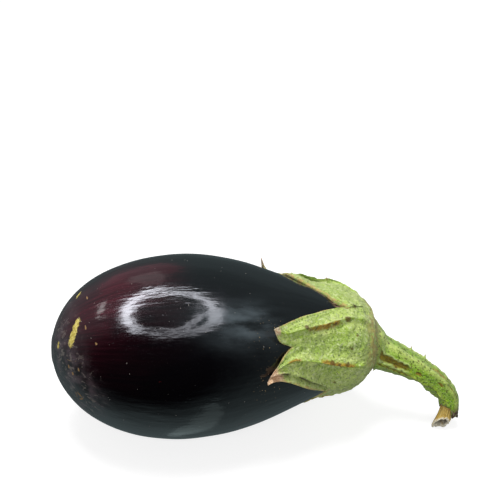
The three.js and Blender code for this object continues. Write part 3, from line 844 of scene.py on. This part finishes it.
def make_core():
    """The bare core: a fibrous rod out of the bark, its end torn aslant round a hollow pith, longer on the
    far side than on the near one."""
    share = np.linspace(0, 1, CORE_ROWS)
    turn = turns(CORE_AROUND)
    middle, direction, outward, length = tube(CORE_ROUTE, share, turn)
    down = share[:, None] * length
    around = round_grain(0.05 * down, 5, turn)
    strand = ripple(around, 1.6, 31)
    radius = CORE_RADIUS + 0.2 * strand + 0.25 * smooth(length - 5, length, down)
    torn = 0.5 * ripple(around[-1:] * (0, 1, 1), 2.2, 32) - 3.2 * np.sin(turn) - 0.6 * np.cos(turn)
    points = (middle[:, None] + radius[..., None] * outward
              + (torn * smooth(length - 6, length, down))[..., None] * direction[:, None])
    inner = np.array([3.1, 2.8, 2.6, 2.4, PITH_RADIUS])[:, None]
    back = np.array([-0.1, 0.3, 1.6, 3.6, 5.5])[:, None]
    hollow = (middle[-1] + (inner + 0.12 * strand[-1:])[..., None] * outward[-1:]
              + (torn * np.linspace(1, 0.2, 5)[:, None] - back)[..., None] * direction[-1])
    start = np.repeat(middle[:1], CORE_AROUND, 0)[None]
    bottom = np.repeat(hollow[-1:].mean(1), CORE_AROUND, 0)[None]
    rows = np.concatenate([start, points, hollow, bottom])
    rows[..., 2] = np.maximum(rows[..., 2], 0.05)
    end = np.broadcast_to(smooth(length - 2.0, length, down), points.shape[:2])
    # How dark the painted shade is on each row inside the hollow, from its rim down.
    depth = np.array([0, 0, 0.6, 1, 1, 1])[:, None] * np.ones((1, CORE_AROUND))
    marks = {"grain": padded(round_grain(down, 5, turn) * MM, 1, INNER_ROWS),
             "torn": padded(end, 1, INNER_ROWS),
             "pith": np.concatenate([np.zeros((CORE_ROWS + 1, CORE_AROUND)), depth])}
    closed_skin("torn_core", rows, marks, torn_wood(), "stem_core")


# -------------------- prickles
NORMAL_REACH = 9     # grid steps either way over which the surface's direction under a prickle is taken
PRICKLE_ROWS = 12
PRICKLE_AROUND = 14

# Prickles on the calyx, as degrees round and millimetres along the axis, and on the stem, as degrees round
# and share of its length; then how tall and how wide at the foot.
CALYX_PRICKLES = [(-36, 72, 3.4, 1.5), (-40, 55, 1.2, 0.8), (150, 68, 1.3, 0.9), (112, 74, 1.0, 0.7),
                  (210, 64, 2.0, 1.0), (264, 74, 2.2, 1.1), (262, 60, 1.2, 0.8)]
STEM_PRICKLES = [(-30, 0.45, 2.3, 1.1), (-34, 0.57, 2.5, 1.1), (168, 0.22, 1.2, 0.8), (200, 0.62, 1.0, 0.7),
                 (290, 0.34, 1.2, 0.8)]


def prickle_skin():
    """A prickle: green at its foot and dry brown at its point."""
    made, shader, tree, coords, kept = material("dry_prickle", "tall")
    speckle = mask(coords, 0.6, 0.3, 0.7)
    tone = paint(tree, "#86a043", ("#a9bb6c", speckle), ("#84592f", kept["tall"]))
    fill(shader, {"Base Color": tone, "Roughness": 0.7, "Normal": relief(tree, (speckle, 0.08))})
    return made


def make_prickle(name, rows, row, column, height, width, skin):
    """One prickle on a grid of points: a cone with a waisted side, leaning over towards the blossom end."""
    around = rows.shape[1]
    along = rows[min(row + NORMAL_REACH, len(rows) - 1), column] - rows[max(row - NORMAL_REACH, 0), column]
    across = rows[row, (column + NORMAL_REACH) % around] - rows[row, (column - NORMAL_REACH) % around]
    out = unit(np.cross(across, along))
    share = np.linspace(0, 1, PRICKLE_ROWS)[:, None]
    turn = turns(PRICKLE_AROUND)
    first = unit(np.cross(out, (0.3, 0.5, 0.8)))
    second = np.cross(out, first)
    middle = rows[row, column] + (height * (1.3 * share - 0.3))[..., None] * out
    middle = middle - (0.45 * height * share**2)[..., None] * AXIS
    radius = width * (1 - share) ** 1.3 * (share > 0)
    cone = middle + radius[..., None] * (np.cos(turn)[..., None] * first + np.sin(turn)[..., None] * second)
    closed_skin(name, cone, {"tall": smooth(0.45, 0.85, share)}, skin)


def make_prickles(calyx, places, stem):
    """All the prickles, each at the nearest point of the calyx or the stem."""
    skin = prickle_skin()
    for count, (degrees, along, height, width) in enumerate(CALYX_PRICKLES, 1):
        turned = (places[..., 0] - degrees + 180) % 360 - 180
        nearest = np.argmin((TURN_MM * turned) ** 2 + (places[..., 1] - along) ** 2)
        row, column = np.unravel_index(nearest, turned.shape)
        make_prickle(f"calyx_prickle_{count}", calyx, row, column, height, width, skin)
    for count, (degrees, share, height, width) in enumerate(STEM_PRICKLES, 1):
        row, column = int(share * STEM_ROWS), int(degrees / 360 * STEM_AROUND) % STEM_AROUND
        make_prickle(f"stem_prickle_{count}", stem, row, column, height, width, skin)


# -------------------- build
make_fruit()
calyx_rows, calyx_marks, calyx_outer, calyx_places = calyx_shape()
closed_skin("calyx_skin", calyx_rows, calyx_marks, felted_calyx(), "calyx")
stem_outer = make_stem()
make_core()
make_prickles(calyx_outer, calyx_places, stem_outer)


# -------------------- studio
SLATE_GLOW = 0.32
FAR_GLOW = 0.4         # how much of the slate is left straight behind the fruit
ROOM_FILL = 0.32
FLOOR_GLOW = 0.76
FLOOR_HALF = 6.0       # half the floor's width, in metres
RING_STEPS = 96


def glowing_ring(name, inner, outer, centre, glow, tone="#ffffff", lean=(0, 0), soft=0.0):
    """A flat glowing ring that faces the fruit, seen only in reflections. inner and outer are half its width
    and half its height; with no inner size it is a whole disc. lean is how much it brightens from its middle
    to its edge, across and up, and soft is the share of its size over which its edges fade."""
    turn = turns(RING_STEPS)[0]
    circle = np.stack([np.cos(turn), np.sin(turn), 0 * turn], -1)
    points = np.concatenate([circle * (*inner, 0), circle * (*outer, 0)]) * MM
    ring = np.arange(RING_STEPS)
    after = (ring + 1) % RING_STEPS
    faces = np.stack([ring, RING_STEPS + ring, RING_STEPS + after, after], -1)
    mesh = bpy.data.meshes.new(name)
    mesh.from_pydata(points.tolist(), [], faces.tolist())
    lamp = show(name, mesh, centre, hidden=("camera", "diffuse", "shadow"))
    lamp.rotation_euler = Vector(SEAT - centre).to_track_quat("Z", "Y").to_euler()
    made, shader, tree, place = material(name)[:4]
    tree.nodes.remove(shader)
    rise = [share * glow / (half * MM) for share, half in zip(lean, outer)]
    extra = add(tree, "VectorMath", {0: place, 1: (*rise, 0)}, out=1, operation="DOT_PRODUCT")
    strength = add(tree, "Math", {0: extra, 1: glow})
    if soft:
        for sizes, start, end in ((outer, 1.0, 1 - soft), (inner, 1.0, 1 + 1.4 * soft)):
            spread = [1 / (half * MM) for half in sizes]
            scaled = add(tree, "VectorMath", {0: place, 1: (*spread, 0)}, operation="MULTIPLY")
            reach = add(tree, "VectorMath", {0: scaled}, out=1, operation="LENGTH")
            fade = add(tree, "MapRange", {"Value": reach, "From Min": start, "From Max": end},
                       interpolation_type="SMOOTHSTEP")
            strength = add(tree, "Math", {0: strength, 1: fade}, operation="MULTIPLY")
    light = add(tree, "Emission", {"Color": colour(tone), "Strength": strength})
    fill(tree.nodes["Material Output"], {"Surface": light})
    mesh.materials.append(made)


def soft_light(name, place, target, size, power, tone="#ffffff"):
    """A soft box at a place, aimed at a target, that doesn't show in reflections."""
    data = bpy.data.lights.new(name, "AREA")
    data.shape = "RECTANGLE"
    data.size, data.size_y = size[0] * MM, size[1] * MM
    data.energy = power
    data.color = colour(tone)[:3]
    lamp = show(name, data, place, hidden=["glossy"])
    lamp.rotation_euler = (Vector(target) - Vector(place)).to_track_quat("-Z", "Y").to_euler()


def make_floor():
    """A wide matte white floor at the height the part rests on. It lights nothing and isn't mirrored, so the
    gloss of the fruit stays dark."""
    made, shader = material("pale_floor")[:2]
    fill(shader, {"Base Color": colour("#a4a4a4"), "Roughness": 0.9, "Specular IOR Level": 0.1,
                  "Emission Color": colour("#ffffff"), "Emission Strength": FLOOR_GLOW})
    mesh = bpy.data.meshes.new("floor")
    corners = [(x * FLOOR_HALF, y * FLOOR_HALF, 0) for x, y in ((-1, -1), (1, -1), (1, 1), (-1, 1))]
    mesh.from_pydata(corners, [], [(0, 1, 2, 3)])
    mesh.materials.append(made)
    show("floor", mesh, hidden=("glossy", "diffuse"))


def make_room():
    """What the fruit mirrors and what fills the shadows: white behind the scene, a soft even fill, and in
    reflections a slate grey room that is black on the near side and dimmer straight behind the fruit."""
    world = bpy.data.worlds.new("room")
    bpy.context.scene.world = world
    world.use_nodes = True
    tree = world.node_tree
    seen = add(tree, "LightPath", out="Is Camera Ray")
    mirrored = add(tree, "LightPath", out="Is Glossy Ray")
    way = add(tree, "TexCoord", out="Generated")
    nearness = add(tree, "VectorMath", {0: way, 1: (-0.35, -0.92, 0.12)}, out=1, operation="DOT_PRODUCT")
    slate = add(tree, "MapRange", {"Value": nearness, "From Min": 0.8, "From Max": 0.2, "To Min": 0.0,
                                   "To Max": SLATE_GLOW}, interpolation_type="SMOOTHSTEP")
    behind = add(tree, "VectorMath", {0: way, 1: (0.06, 0.85, -0.53)}, out=1, operation="DOT_PRODUCT")
    dim = add(tree, "MapRange", {"Value": behind, "From Min": 0.4, "From Max": 0.95, "To Min": 1.0,
                                 "To Max": FAR_GLOW}, interpolation_type="SMOOTHSTEP")
    slate = add(tree, "Math", {0: slate, 1: dim}, operation="MULTIPLY")
    strength = add(tree, "Mix", {0: mirrored, 2: ROOM_FILL, 3: slate})
    strength = add(tree, "Mix", {0: seen, 2: strength, 3: 1.0})
    tone = add(tree, "Mix", {0: mirrored, 6: colour("#ffffff"), 7: colour("#cce6ea")}, out=2,
               data_type="RGBA")
    fill(tree.nodes["Background"], {"Strength": strength, "Color": tone})


make_floor()
make_room()
glowing_ring("ring_lamp", (124, 130), (222, 190), SEAT + (-38, -76, 331), 11.5, "#f2f5ff",
             (0.75, 0.45), 0.2)
glowing_ring("side_lamp", (0, 0), (46, 30), SEAT + (-328, 85, 285), 4.0)
glowing_ring("warm_disc", (0, 0), (230, 230), SEAT + (-200, 470, 370), 0.5, "#f0c0cc")
glowing_ring("soft_disc", (0, 0), (74, 105), SEAT + (-98, 250, 335), 0.95, "#f4dce0")
glowing_ring("pale_card", (0, 0), (45, 270), SEAT + (50, -140, -400), 0.54, "#d8f0f2")
soft_light("key_light", SEAT + (-40, 60, 900), SEAT, (420, 420), 8.2)
soft_light("front_fill", (-100, -900, 600), (40, 0, 40), (700, 500), 5.2)

bpy.context.scene.view_settings.view_transform = "Standard"

# The camera stands in front of the fruit and looks down on it.
camera_place = np.array([3.2, -448.7, 378.3])
camera_target = np.array([33.8, 26.9, 78.9])
camera_data = bpy.data.cameras.new("camera")
camera_data.lens = 84.1
camera_data.sensor_width = 36.0
camera_data.clip_start = 0.01
camera = show("camera", camera_data, camera_place)
camera.rotation_euler = Vector(camera_target - camera_place).to_track_quat("-Z", "Y").to_euler()
bpy.context.scene.camera = camera
